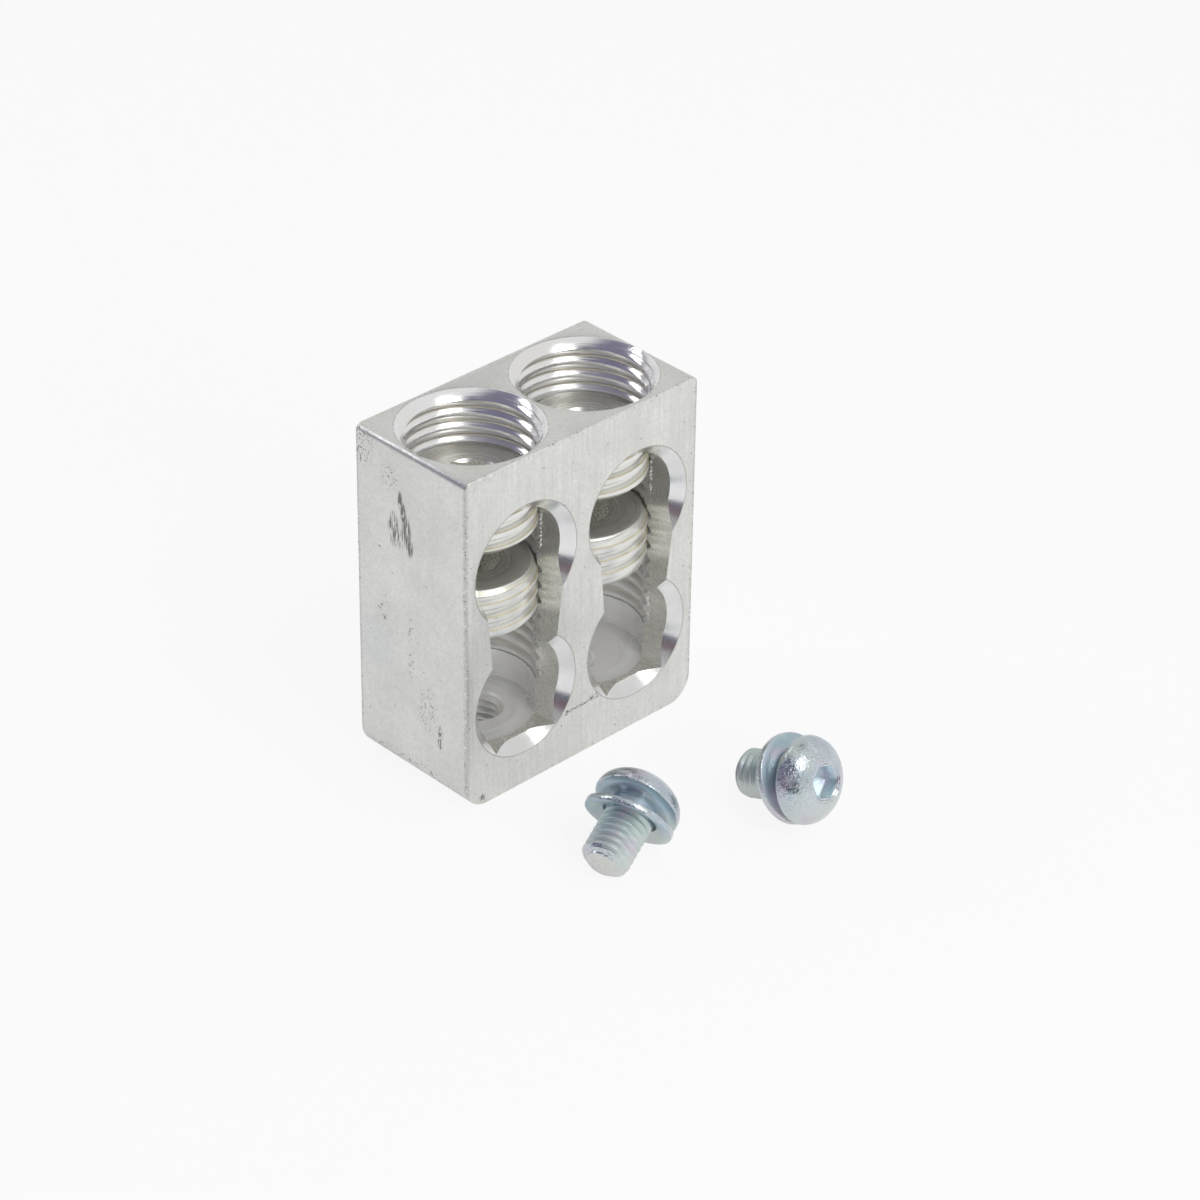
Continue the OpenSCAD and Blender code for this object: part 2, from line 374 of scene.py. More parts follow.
def plated_face(name):
    """Sawn and milled outside faces: fine upright lines, a mottled matte plate, nicks along the edges."""
    kit = finish_kit(name)
    clouds = kit.noise(0.11, detail=5.0, roughness=0.6)
    mottle = kit.noise(1.7, detail=5.0, roughness=0.72)
    grain = kit.noise(3.2, detail=2.0)
    lines = kit.noise(3.6, (1, 1, 0.035), 3.0, 0.6)
    streaks = kit.noise(1.7, (1, 1, 0.05), 4.0, 0.65)
    hairs = kit.near(kit.noise(0.8, detail=1.0), 0.5, 0.0, 0.009)
    hairs = kit.calc("MULTIPLY", hairs, kit.ramp(kit.noise(0.27, detail=1.0), 0.5, 0.6))
    x, y, z = kit.split(kit.where)
    from_side = kit.calc("SUBTRACT", right, kit.calc("ABSOLUTE", x))
    from_front = kit.calc("SUBTRACT", back, kit.calc("ABSOLUTE", y))
    from_end = kit.calc("MINIMUM", z, kit.calc("SUBTRACT", top, z))
    upright = kit.calc("ADD", from_side, from_front)
    brow = kit.calc("ADD", from_front, from_end)
    edge = kit.join("MINIMUM", (upright, brow, kit.calc("ADD", from_side, from_end)))
    on_front = kit.ramp(from_front, 0.1, 0.5, 1.0, 0.0)
    # A thin painted shade line along the countersinks' outer edge, standing for the shading of an edge break
    # the shape leaves out.
    rim = kit.join("MINIMUM", [kit.gap(kit.distance((axis.x, 0, height), (1, 0, 1)), sink_radius + 0.05)
                               for axis in bore_axes.values() for height in (upper_hole, lower_hole)])
    at_ports = kit.ramp(y, front + 0.1, front + 0.5, 1.0, 0.0)
    rim = kit.calc("MULTIPLY", kit.ramp(rim, 0.03, 0.16, 1.0, 0.0), at_ports)
    # A thin line of dirt along the rims of the bore mouths on top.
    mouth_rim = kit.join("MINIMUM", [kit.gap(kit.distance(axis, (1, 1, 0)), bore_mouth + 0.06)
                                     for axis in bore_axes.values()])
    broken = kit.ramp(kit.noise(1.4, detail=2.0), 0.42, 0.54)
    on_top = kit.calc("MULTIPLY", broken, kit.ramp(z, top - 0.6, top - 0.1))
    mouth_rim = kit.calc("MULTIPLY", kit.ramp(mouth_rim, 0.06, 0.22, 0.75, 0.0), on_top)
    nicked = kit.ramp(kit.noise(2.3, detail=3.0), 0.60, 0.68)
    nicks = kit.calc("MULTIPLY", kit.ramp(edge, 0.3, 1.1, 0.7, 0.0), nicked)
    chipped = kit.ramp(kit.noise(1.9, detail=3.0), 0.40, 0.34)
    chips = kit.calc("MULTIPLY", kit.ramp(edge, 0.4, 1.3, 0.9, 0.0), chipped)
    specks = kit.ramp(kit.noise(1.3, detail=1.0), 0.755, 0.79, 0.0, 0.7)
    marks = kit.calc("MAXIMUM", nicks, specks)
    # Each worn patch: centre, size, scale and stretch of its noise, and the level where spots begin.
    worn = [((left, 2.3, 50.8), (2, 0.6, 1.9), 3.2, (1, 1, 0.3), 0.40),
            ((left, 1.6, 48.7), (2, 0.8, 2.2), 3.2, (1, 1, 0.3), 0.42),
            ((left, 3.9, 45.0), (2, 1.5, 3.6), 4.0, (1, 1, 0.10), 0.46),
            ((left, 2.4, 44.2), (2, 1.2, 2.6), 4.0, (1, 1, 0.10), 0.50),
            ((left, 0.9, 45.6), (2, 1.2, 3.4), 4.0, (1, 1, 0.10), 0.42),
            ((left, 0.2, 43.2), (2, 0.9, 2.0), 4.0, (1, 1, 0.12), 0.42),
            ((left, 4.8, 54.0), (2, 2.4, 2.6), 3.0, (1, 1, 1), 0.58),
            ((left, 6.8, 28.4), (2, 1.4, 2.6), 2.8, (1, 1, 0.6), 0.58),
            ((left, 0.2, 24.5), (2, 0.8, 8.0), 1.9, (1, 1, 1), 0.60),
            ((left, -3.6, 15.2), (2, 2.8, 5.0), 2.9, (1, 1, 0.8), 0.57),
            ((left, -6.4, 11.0), (2, 0.7, 3.0), 2.6, (1, 1, 0.3), 0.48),
            ((left, 11, 57), (2, 3.0, 4.5), 2.6, (1, 1, 1), 0.58),
            ((left, 0, 1.8), (3, 14, 3.0), 2.2, (1, 1, 1), 0.58),
            ((-0.2, front, 9.3), (3.4, 1, 0.34), 3.2, (1, 1, 1), 0.47),
            ((3.0, front, 9.6), (1.5, 1, 0.7), 3, (1, 1, 1), 0.49),
            ((-3.2, front, 9.2), (1.3, 1, 0.55), 3, (1, 1, 1), 0.49),
            ((9, front, 3.6), (2.6, 1, 2.2), 2.4, (1, 1, 0.7), 0.62),
            ((-21.3, front, 1.5), (0.8, 1, 0.8), 2.6, (1, 1, 1), 0.45)]
    for centre, size, scale, stretch, threshold in worn:
        spots = kit.ramp(kit.noise(scale, stretch, 3.0), threshold, threshold + 0.07)
        marks = kit.calc("MAXIMUM", marks, kit.calc("MULTIPLY", kit.patch(centre, size), spots))
    colour = kit.mix(kit.ramp(clouds, 0.36, 0.64), (0.80, 0.80, 0.765, 1), (0.89, 0.89, 0.86, 1))
    bluish = kit.calc("MULTIPLY", kit.patch((left, 8.6, 22.0), (2, 4.6, 5.5)), 0.3)
    colour = kit.mix(bluish, colour, (0.72, 0.76, 0.82, 1))
    colour = kit.mix(kit.ramp(mottle, 0.36, 0.62, 0.32, 0.0), colour, (0.55, 0.55, 0.51, 1))
    faint = kit.calc("MULTIPLY", kit.ramp(streaks, 0.42, 0.66), kit.ramp(on_front, 0.0, 1.0, 0.10, 0.46))
    colour = kit.mix(faint, colour, (0.66, 0.66, 0.63, 1))
    colour = kit.mix(kit.calc("MULTIPLY", hairs, 0.38), colour, (0.45, 0.44, 0.41, 1))
    # Darker along the upright edges: grime with brown specks, and painted shade on their edge breaks.
    colour = kit.mix(kit.ramp(upright, 0.2, 0.75, 0.6, 0.0), colour, (0.52, 0.51, 0.48, 1))
    # Darkens the painted shade line at the countersinks and the dirt line at the bore mouths.
    rims = kit.calc("MAXIMUM", kit.calc("MULTIPLY", rim, 0.9), mouth_rim)
    colour = kit.mix(rims, colour, (0.40, 0.39, 0.36, 1))
    colour = kit.mix(kit.calc("MULTIPLY", chips, 0.8), colour, (0.97, 0.97, 0.97, 1))
    colour = kit.mix(kit.calc("MULTIPLY", marks, 0.78), colour, (0.15, 0.14, 0.125, 1))
    rough = kit.calc("ADD", kit.ramp(grain, 0.3, 0.7, 0.30, 0.42), kit.calc("MULTIPLY", marks, 0.25))
    lined = kit.bump(kit.calc("MULTIPLY", lines, kit.ramp(on_front, 0.0, 1.0, 0.35, 1.0)), 0.4, 0.05)
    grained = kit.bump(mottle, 0.25, 0.05, lined)
    return kit.coat(colour, rough, 0.88, kit.bump(kit.calc("SUBTRACT", chips, marks), 0.35, 0.07, grained))


def tapped_wall(name):
    """Bored and tapped walls: polished, with turning lines, and torn where the thread breaks into a port."""
    kit = finish_kit(name)
    rings = kit.noise(2.2, (0.02, 0.02, 1), 4.0, 0.75)
    haze = kit.noise(0.5, (0.3, 0.3, 1), 3.0)
    grain = kit.noise(4, detail=4.0, roughness=0.7)
    radius = kit.join("MINIMUM", [kit.distance(axis, (1, 1, 0)) for axis in bore_axes.values()])
    torn = kit.join("MAXIMUM", [kit.patch((axis.x + way * port_radius, -5.2, 30), (2.0, 3.0, 60))
                                for axis in bore_axes.values() for way in (-1, 1)])
    torn = kit.calc("MULTIPLY", torn, kit.ramp(kit.noise(0.8, detail=3.0, roughness=0.6), 0.40, 0.48))
    height = kit.split(kit.where)["Z"]
    in_light = kit.ramp(height, 48, 56)
    in_groove = kit.ramp(radius, bore_root - 0.26, bore_root - 0.08)
    film = kit.calc("MULTIPLY", in_groove, kit.ramp(height, top - 2.2, top - 1.9, 1.0, 0.0))
    colour = kit.mix(kit.ramp(haze, 0.4, 0.66), (1.0, 1.0, 1.0, 1), (0.97, 0.96, 0.94, 1))
    circles = kit.ramp(kit.noise(2.8, (0.02, 0.02, 1), 2.0, 0.6), 0.36, 0.6, 0.35, 0.0)
    circles = kit.calc("MULTIPLY", circles, kit.ramp(in_light, 0.0, 0.4, 1.0, 0.0))
    colour = kit.mix(circles, colour, (0.62, 0.62, 0.61, 1))
    colour = kit.mix(kit.calc("MULTIPLY", film, 0.5), colour, (0.66, 0.60, 0.44, 1))
    colour = kit.mix(kit.calc("MULTIPLY", torn, 0.9), colour, (1.0, 1.0, 1.0, 1))
    rough = kit.calc("ADD", kit.ramp(grain, 0.3, 0.7, 0.12, 0.2), kit.calc("MULTIPLY", torn, 0.35))
    metal = kit.calc("SUBTRACT", kit.ramp(in_light, 0.0, 1.0, 0.5, 0.95), kit.calc("MULTIPLY", torn, 0.55))
    turned_lines = kit.bump(rings, 0.5, 0.05)
    speckled = kit.bump(grain, 0.25, 0.02, turned_lines)
    shreds = kit.calc("MULTIPLY", torn, kit.noise(1.6, (1, 1, 0.7), 2.0))
    return kit.coat(colour, rough, metal, kit.bump(shreds, 0.5, 0.2, speckled))


def milled_wall(name, first, second, roughness, metal, stretch, relief=1.0):
    """Walls left by the milling cutter and the countersink: bright metal with the tool's fine lines."""
    kit = finish_kit(name)
    lines = kit.noise(4.2, stretch, 3.0, 0.65)
    haze = kit.noise(0.35, detail=3.0)
    grain = kit.noise(3.6, detail=2.0)
    colour = kit.mix(kit.ramp(haze, 0.4, 0.62), first, second)
    rough = kit.ramp(grain, 0.3, 0.7, roughness, roughness + 0.08)
    fine = kit.bump(lines, 0.22 * relief, 0.03)
    return kit.coat(colour, rough, metal, kit.bump(grain, 0.12 * relief, 0.02, fine))


face_finish = plated_face("matte_tin_plate")
bore_finish = tapped_wall("tapped_wall")
port_finish = milled_wall("milled_wall", (0.92, 0.91, 0.86, 1), (0.87, 0.86, 0.80, 1), 0.25, 0.78,
                          (1, 1, 0.1))
sink_finish = milled_wall("countersunk_edge", (0.90, 0.90, 0.90, 1), (0.85, 0.85, 0.84, 1), 0.13, 0.93,
                          (1, 1, 0.06))
bar_outline = (arc(left + bottom_corner, bottom + bottom_corner, bottom_corner, 180, 270, 16)
               + arc(right - bottom_corner, bottom + bottom_corner, bottom_corner, 270, 360, 16)
               + arc(right - top_corner, top - top_corner, top_corner, 0, 90, 8)
               + arc(left + top_corner, top - top_corner, top_corner, 90, 180, 8))
block = drawn("lug_block_plated", bar_outline, front, back, face_finish)
bar = bmesh.new()
bar.from_mesh(block.data)
rims = [e for e in bar.edges if abs(e.verts[0].co.y - e.verts[1].co.y) < 1e-4]
bmesh.ops.bevel(bar, geom=rims, offset=edge_break, segments=3, profile=0.5, affect="EDGES")
bar.to_mesh(block.data)
bar.free()

# Shares of the pitch and of the depth: the tap leaves narrow grooves and wide rounded crests.
groove = [(share, ((1 + math.cos(2 * math.pi * share)) / 2) ** 2)
          for share in (0.013, 0.078, 0.143, 0.208, 0.276, 0.362, 0.507, 0.643, 0.732, 0.803, 0.862, 0.934)]
bore_thread = thread_tree("bore_thread", groove)
tapped_thread = thread_tree("tapped_thread", [(0.07, 1), (0.43, 0), (0.57, 0), (0.93, 1)])
thread_ridge = thread_end + bore_pitch_line / 2
drilled = [(0, drill_floor), (6.5, drill_floor), (6.6, drill_floor + 0.08),
           (7.6, drill_floor + 0.08), (7.8, drill_floor - 0.02),
           (drill_radius - 0.5, drill_floor - 0.02), (drill_radius - 0.12, drill_floor + 0.12),
           (drill_radius, drill_floor + 0.5), (drill_radius, thread_end + 0.7), (0, thread_end + 0.7)]
mouth_depth = bore_mouth - bore_crest + 0.6
mouth = [(0, top - mouth_depth), (bore_crest - 0.6, top - mouth_depth), (bore_mouth - 0.05, top - 0.05),
         (bore_mouth + 0.6, top + 0.2), (0, top + 0.2)]
for side, axis in bore_axes.items():
    bore = threaded_rod("bore", bore_thread, bore_root, bore_crest, bore_pitch_line, thread_end, top + 1,
                        thread_ridge, bore_finish)
    for tool in (bore, turned("drilled", drilled, bore_finish), turned("mouth", mouth, bore_finish, 128)):
        carve(block, place(tool, Matrix.Translation(axis)))

sink_depth = sink_radius - port_radius
hole = [(0, -1), (sink_radius + 1, -1), (port_radius, sink_depth), (port_radius, -front), (0, -front)]
to_front = Matrix.Translation((0, front, 0)) @ Matrix.Rotation(math.radians(-90), 4, "X")
waist_top = upper_hole - math.sqrt(port_radius**2 - waist_top_half**2)
waist_left = lower_hole + math.sqrt(port_radius**2 - waist_bottom_left**2)
waist_right = lower_hole + math.sqrt(port_radius**2 - waist_bottom_right**2)
side_half = 0.93 * port_radius
side_height = lower_hole - math.sqrt(port_radius**2 - side_half**2)
for side, axis in bore_axes.items():
    for height in (upper_hole, lower_hole):
        tool = turned("port_hole", hole, port_finish, 128)
        tool.data.materials.append(sink_finish)
        for face in tool.data.polygons:
            if math.hypot(face.center.x, face.center.y) > port_radius + 0.01:
                face.material_index = 1
        place(tool, Matrix.Translation((axis.x, 0, height)) @ to_front)
        if height == lower_hole:
            under = [(-port_radius, port_floor - 5), (port_radius, port_floor - 5),
                     (port_radius, port_floor), (-port_radius, port_floor)]
            sill = drawn("sill", under, front + sink_depth, 1, port_finish)
            carve(tool, place(sill, Matrix.Translation((axis.x, 0, 0))))
        carve(block, tool)
    waist = [(-waist_bottom_left, waist_left), (0, lower_hole), (waist_bottom_right, waist_right),
             (waist_top_half, waist_top), (-waist_top_half, waist_top)]
    foot = [(-port_floor_half, port_floor), (port_floor_half, port_floor),
            (side_half, side_height), (-side_half, side_height)]
    for outline in (waist, foot):
        slot = drawn("waist", outline, front - 1, 0, port_finish)
        carve(block, place(slot, Matrix.Translation((axis.x, 0, 0))))

tap_lead = mount_mouth - mount_crest
tapped_mouth = [(0, drill_floor - tap_lead - 0.4), (mount_crest - 0.4, drill_floor - tap_lead - 0.4),
                (mount_mouth + 0.4, drill_floor + 0.4), (0, drill_floor + 0.4)]
for axis in hole_axes:
    rod = threaded_rod("tapped", tapped_thread, mount_root, mount_crest, mount_pitch, bottom - 1,
                       drill_floor + 0.2, bottom, bore_finish, 72)
    for tool in (rod, turned("tapped_mouth", tapped_mouth, bore_finish, 72)):
        carve(block, place(tool, Matrix.Translation(axis)))
finished(block, 27)
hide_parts("lug_block")
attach(block, "lug")

# Burrs
# Crumbs of metal that the tap tore up where the thread breaks into the ports, still
# clinging along the edge, and one rolled burr on the lip between the two left holes.
crumb_inputs = (("Edge", "Geometry"), ("Count", "Int"), ("Size", "Float"), ("Spread", "Vector"),
                ("Finish", "Material"))
crumbs, given = modifier_tree("crumbs_along_edge", crumb_inputs, "Crumbs")
kinds = ("GeometryNodeMeshToCurve", "GeometryNodeCurveToPoints", "GeometryNodeSetPosition",
         "GeometryNodeInstanceOnPoints", "GeometryNodeRealizeInstances", "GeometryNodeSetMaterial",
         "NodeGroupOutput")
to_curve, to_points, scatter, instance, realize, coat, result = (crumbs.nodes.new(kind) for kind in kinds)
grain_ball = crumbs.nodes.new("GeometryNodeMeshIcoSphere")
shift, spin, swell = (crumbs.nodes.new("FunctionNodeRandomValue") for _ in range(3))
draws = ((shift, (-1, -1, -1), (1, 1, 1), 4), (spin, (0, 0, 0), (6.28, 6.28, 6.28), 5),
         (swell, (0.3, 0.3, 0.4), (1.2, 1.2, 2.0), 6))
for node, low, high, seed in draws:
    node.data_type = "FLOAT_VECTOR"
    node.inputs["Min"].default_value = low
    node.inputs["Max"].default_value = high
    node.inputs["Seed"].default_value = seed
offset = crumbs.nodes.new("ShaderNodeVectorMath")
offset.operation = "MULTIPLY"
wires = ((given["Edge"], to_curve.inputs[0]), (to_curve.outputs[0], to_points.inputs[0]),
         (given["Count"], to_points.inputs["Count"]), (to_points.outputs["Points"], scatter.inputs[0]),
         (shift.outputs["Value"], offset.inputs[0]), (given["Spread"], offset.inputs[1]),
         (offset.outputs[0], scatter.inputs["Offset"]), (scatter.outputs[0], instance.inputs["Points"]),
         (grain_ball.outputs["Mesh"], instance.inputs["Instance"]),
         (given["Size"], grain_ball.inputs["Radius"]), (spin.outputs["Value"], instance.inputs["Rotation"]),
         (swell.outputs["Value"], instance.inputs["Scale"]), (instance.outputs[0], realize.inputs[0]),
         (realize.outputs[0], coat.inputs["Geometry"]), (given["Finish"], coat.inputs["Material"]),
         (coat.outputs[0], result.inputs[0]))
for start, end in wires:
    crumbs.links.new(start, end)
edge_radius = 10.8
strand_low = 10
strand_height = 38
strand_points = 60
strands = bmesh.new()
for axis in bore_axes.values():
    for way in (-1, 1):
        last = None
        for i in range(strand_points):
            height = strand_low + strand_height * i / (strand_points - 1)
            side = waist_top_half
            for centre in (upper_hole, lower_hole):
                away = abs(height - centre)
                if away < port_radius:
                    half = math.sqrt(port_radius**2 - away**2)
                    side = max(side, half) if away > 3 else half
            side = min(side, port_radius)
            corner = strands.verts.new((axis.x + way * side, -math.sqrt(edge_radius**2 - side**2), height))
            if last is not None:
                strands.edges.new((last, corner))
            last = corner
burrs = shape_of("torn_burrs", bpy.data.meshes.new("torn_burrs"))
strands.to_mesh(burrs.data)
strands.free()
grow(burrs, crumbs, {"Count": 150, "Size": 0.17, "Spread": (0.03, 0.12, 0.25), "Finish": bore_finish})
rolled = bmesh.new()
rolled.from_mesh(burrs.data)
lip = Matrix.Translation((-3.8, front + 0.2, 33.6)) @ Matrix.Diagonal((1, 0.8, 1.1, 1))
for vert in bmesh.ops.create_icosphere(rolled, subdivisions=3, radius=0.36, matrix=lip)["verts"]:
    x, z = vert.co.x, vert.co.z
    vert.co += 0.05 * Vector((math.sin(19 * z), math.sin(23 * x), math.sin(17 * x + 9 * z)))
rolled.to_mesh(burrs.data)
rolled.free()
finished(burrs)
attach(burrs, "lug")

# Set screws
# Short aluminium screws turned from bar, threaded over their whole length, chamfered at
# both ends, with a hexagon socket that doesn't go through, and tin plated like the block.
screw_crest = 10.36
screw_root = 9.6
screw_face = 9.35
socket_flats = 8.0
socket_depth = 5.4
screw_thread = thread_tree("set_screw_thread", [(0.17, 1), (0.36, 0), (0.64, 0), (0.83, 1)])


def hexagon(flats, turn=0.0):
    radius = flats / math.sqrt(3)
    corners = [math.radians(turn + 60 * i) for i in range(6)]
    return [(radius * math.cos(a), radius * math.sin(a)) for a in corners]


def set_screw_finish(name, axis):
    """Threaded and plated: a thin line of yellow film along the thread, and painted shade on the lower flank
    beside it.
    """
    kit = finish_kit(name)
    centred = kit.add("Mapping", Vector=kit.where, Location=(-axis.x, -axis.y, -thread_ridge)).outputs[0]
    x, y, z = kit.split(centred)
    radius = kit.calc("SQRT", kit.calc("ADD", kit.calc("MULTIPLY", x, x), kit.calc("MULTIPLY", y, y)))
    turn = kit.calc("DIVIDE", kit.calc("ARCTAN2", y, x), 2 * math.pi)
    wound = kit.calc("FRACT", kit.calc("SUBTRACT", kit.calc("DIVIDE", z, bore_pitch_line), turn))
    on_thread = kit.ramp(radius, screw_root - 0.14, screw_root - 0.06)
    film = kit.calc("MULTIPLY", kit.near(wound, 0.2, 0.02, 0.05), on_thread)
    # Painted shade: a dark band on each turn's lower flank, where the thread shades itself.
    under = kit.calc("MULTIPLY", kit.near(wound, 0.71, 0.11, 0.15), on_thread)
    grain = kit.noise(2.6, detail=3.0)
    lines = kit.noise(5.2, (0.03, 0.03, 1), 2.0, 0.6)
    haze = kit.noise(0.3, (0.3, 0.3, 1), 3.0)
    colour = kit.mix(kit.ramp(haze, 0.4, 0.64), (0.90, 0.90, 0.87, 1), (0.86, 0.86, 0.81, 1))
    # Mixes in the painted shade on the lower flank.
    colour = kit.mix(kit.calc("MULTIPLY", under, 0.75), colour, (0.34, 0.34, 0.31, 1))
    colour = kit.mix(kit.calc("MULTIPLY", film, 0.75), colour, (0.70, 0.61, 0.40, 1))
    specks = kit.ramp(kit.noise(1.7, detail=1.0), 0.735, 0.765, 0.0, 0.6)
    colour = kit.mix(specks, colour, (0.2, 0.19, 0.17, 1))
    return kit.coat(colour, kit.ramp(grain, 0.3, 0.7, 0.30, 0.38), 0.82, kit.bump(lines, 0.08, 0.02))


def turned_end_finish(name, axis):
    """Faced ends: faint turning rings, a painted highlight along the lip, and a chamfer yellowed by the
    plating's film.
    """
    kit = finish_kit(name)
    radius = kit.distance(axis, (1, 1, 0))
    wobble = kit.calc("ADD", radius, kit.calc("MULTIPLY", kit.noise(0.25, detail=1.0), 0.35))
    ring_noise = kit.add("TexNoise", {"noise_dimensions": "1D"}, W=wobble, Scale=2.6, Detail=4.0,
                         Roughness=0.7)
    fine = ring_noise.outputs[0]
    broad = kit.calc("MULTIPLY", kit.near(radius, 6.7, 0.1, 0.5), 0.35)
    # Painted highlight: a thin near-white ring along the lip of the face.
    lip = kit.near(radius, screw_face + 0.04, 0.05, 0.15)
    colour = kit.mix(kit.ramp(fine, 0.35, 0.65), (0.72, 0.71, 0.66, 1), (0.84, 0.83, 0.78, 1))
    colour = kit.mix(broad, colour, (0.62, 0.61, 0.56, 1))
    yellowed = kit.ramp(radius, screw_face + 0.1, screw_face + 0.35, 0.0, 0.5)
    colour = kit.mix(yellowed, colour, (0.86, 0.82, 0.62, 1))
    # Mixes in the painted highlight along the lip.
    colour = kit.mix(kit.calc("MULTIPLY", lip, 0.9), colour, (0.98, 0.98, 0.98, 1))
    return kit.coat(colour, kit.ramp(fine, 0.3, 0.7, 0.26, 0.36), 0.85, kit.bump(fine, 0.35, 0.04))


broached = milled_wall("broached_socket", (0.96, 0.95, 0.91, 1), (0.90, 0.89, 0.83, 1), 0.24, 0.6,
                       (1, 1, 0.06), 0.15)
for side in ("left", "right"):
    finish = set_screw_finish(f"set_screw_tin_{side}", bore_axes[side])
    end_finish = turned_end_finish(f"set_screw_end_{side}", bore_axes[side])
    for level in ("upper", "lower"):
        node = f"{level}_set_screw_{side}"
        low, high = (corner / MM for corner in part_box(node))
        screw = threaded_rod(f"{node}_threaded", screw_thread, screw_crest, screw_root, bore_pitch_line,
                             low.z - 0.5, high.z + 0.5, thread_ridge, finish, 128)
        chamfer = screw_crest - screw_face
        wide = screw_crest + 0.2
        blank = [(0, low.z), (screw_face, low.z), (wide, low.z + chamfer + 0.2),
                 (wide, high.z - chamfer - 0.2), (screw_face + 0.1, high.z - 0.1),
                 (screw_face - 0.08, high.z), (0, high.z)]
        carve(screw, turned("blank", blank, end_finish, 128), "INTERSECT")
        bottom_of_socket = high.z - socket_depth
        pit = [(0, bottom_of_socket - 1.6), (3.6, bottom_of_socket + 0.1), (0, bottom_of_socket + 0.1)]
        lead = [(0, high.z - 0.9), (socket_flats / 2 - 0.4, high.z - 0.9),
                (socket_flats / 2 + 0.8, high.z + 0.3), (0, high.z + 0.3)]
        for tool in (drawn("key", hexagon(socket_flats, 30), bottom_of_socket, high.z + 1, broached, "Z"),
                     turned("pit", pit, broached, 48), turned("lead", lead, end_finish, 72)):
            carve(screw, tool)
        place(screw, Matrix.Translation(bore_axes[side]))
        finished(screw)
        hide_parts(node)
        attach(screw, f"{level}_{side}")

# Mounting screws
# Steel socket screws with domed heads: cold headed, thread rolled, and zinc plated with a
# blue-white passivation that shows faint pink and green where it is thin.
head_radius = 7.05
head_height = 4.4
head_rim = 0.35
head_flat = 3.35
head_flats = 5.0
head_socket_depth = 2.6
shank_crest = 3.95
shank_root = 3.4
shank_length = 12.0
tip_radius = 2.75
tip_chamfer = 0.95
screw_tilt = math.radians(18.5)
washer_tilt = math.radians(32.5)
washer_offset = 3.0
lying = {"left": (Vector((-10.9, -36.3, 0)), math.radians(19)),
         "right": (Vector((13.4, -49.0, 0)), math.radians(-84))}
key_turn = {"left": 0, "right": 8}
rolled_thread = thread_tree("rolled_thread", [(0.06, 1), (0.13, 0.93), (0.38, 0.12), (0.46, 0),
                                              (0.54, 0), (0.62, 0.12), (0.87, 0.93), (0.94, 1)])


def zinc(name, first, second, roughness, metal, sparkle):
    """Blue-white passivated zinc: a fine sparkle, clouds of pink and green, and painted light from the white
    floor that makes it paler low down.
    """
    kit = finish_kit(name)
    clouds = kit.noise(0.17, detail=2.0)
    tint = kit.noise(0.2, (1, 1.4, 0.8), detail=2.0)
    grain = kit.noise(2.6, detail=2.0, roughness=0.6)
    pits = kit.ramp(kit.noise(2.9, detail=1.0), 0.50, 0.60)
    height = kit.split(kit.where)["Z"]
    colour = kit.mix(kit.ramp(clouds, 0.38, 0.62), first, second)
    # Painted light from the white floor: paler within a few millimetres of it.
    colour = kit.mix(kit.ramp(height, 3.0, 8.5, 0.7, 0.0), colour, (0.77, 0.78, 0.74, 1))
    colour = kit.mix(kit.ramp(tint, 0.54, 0.70, 0.0, 0.6), colour, (0.72, 0.62, 0.74, 1))
    colour = kit.mix(kit.ramp(tint, 0.46, 0.32, 0.0, 0.55), colour, (0.64, 0.74, 0.66, 1))
    rough = kit.ramp(grain, 0.3, 0.7, roughness, roughness + 0.1)
    return kit.coat(colour, rough, metal, kit.bump(pits, sparkle, 0.035, kit.bump(grain, sparkle, 0.04)))


dome_end = math.acos(head_flat / head_radius)
dome_height = (head_height - head_rim) / math.sin(dome_end)
dome = [(head_radius * math.cos(a), head_rim + dome_height * math.sin(a))
        for a in (dome_end * i / 24 for i in range(25))]
head_outline = [(0, 0), (head_radius - 0.25, 0), (head_radius - 0.07, 0.07),
                (head_radius, 0.2)] + dome + [(head_flat - 0.1, head_height - 0.1), (0, head_height - 0.1)]
zinc_head = zinc("zinc_plate", (0.56, 0.645, 0.70, 1), (0.66, 0.72, 0.76, 1), 0.08, 0.93, 0.9)
zinc_socket = zinc("zinc_plate_broached", (0.60, 0.74, 0.81, 1), (0.70, 0.80, 0.85, 1), 0.16, 0.8, 0.2)
zinc_under = zinc("zinc_plate_pressed", (0.43, 0.58, 0.65, 1), (0.52, 0.64, 0.71, 1), 0.30, 0.72, 0.3)
zinc_shank = zinc("zinc_plate_rolled", (0.54, 0.68, 0.67, 1), (0.66, 0.75, 0.74, 1), 0.36, 0.7, 0.3)
zinc_tip = zinc("zinc_plate_cut", (0.72, 0.74, 0.70, 1), (0.78, 0.78, 0.76, 1), 0.22, 0.85, 0.4)
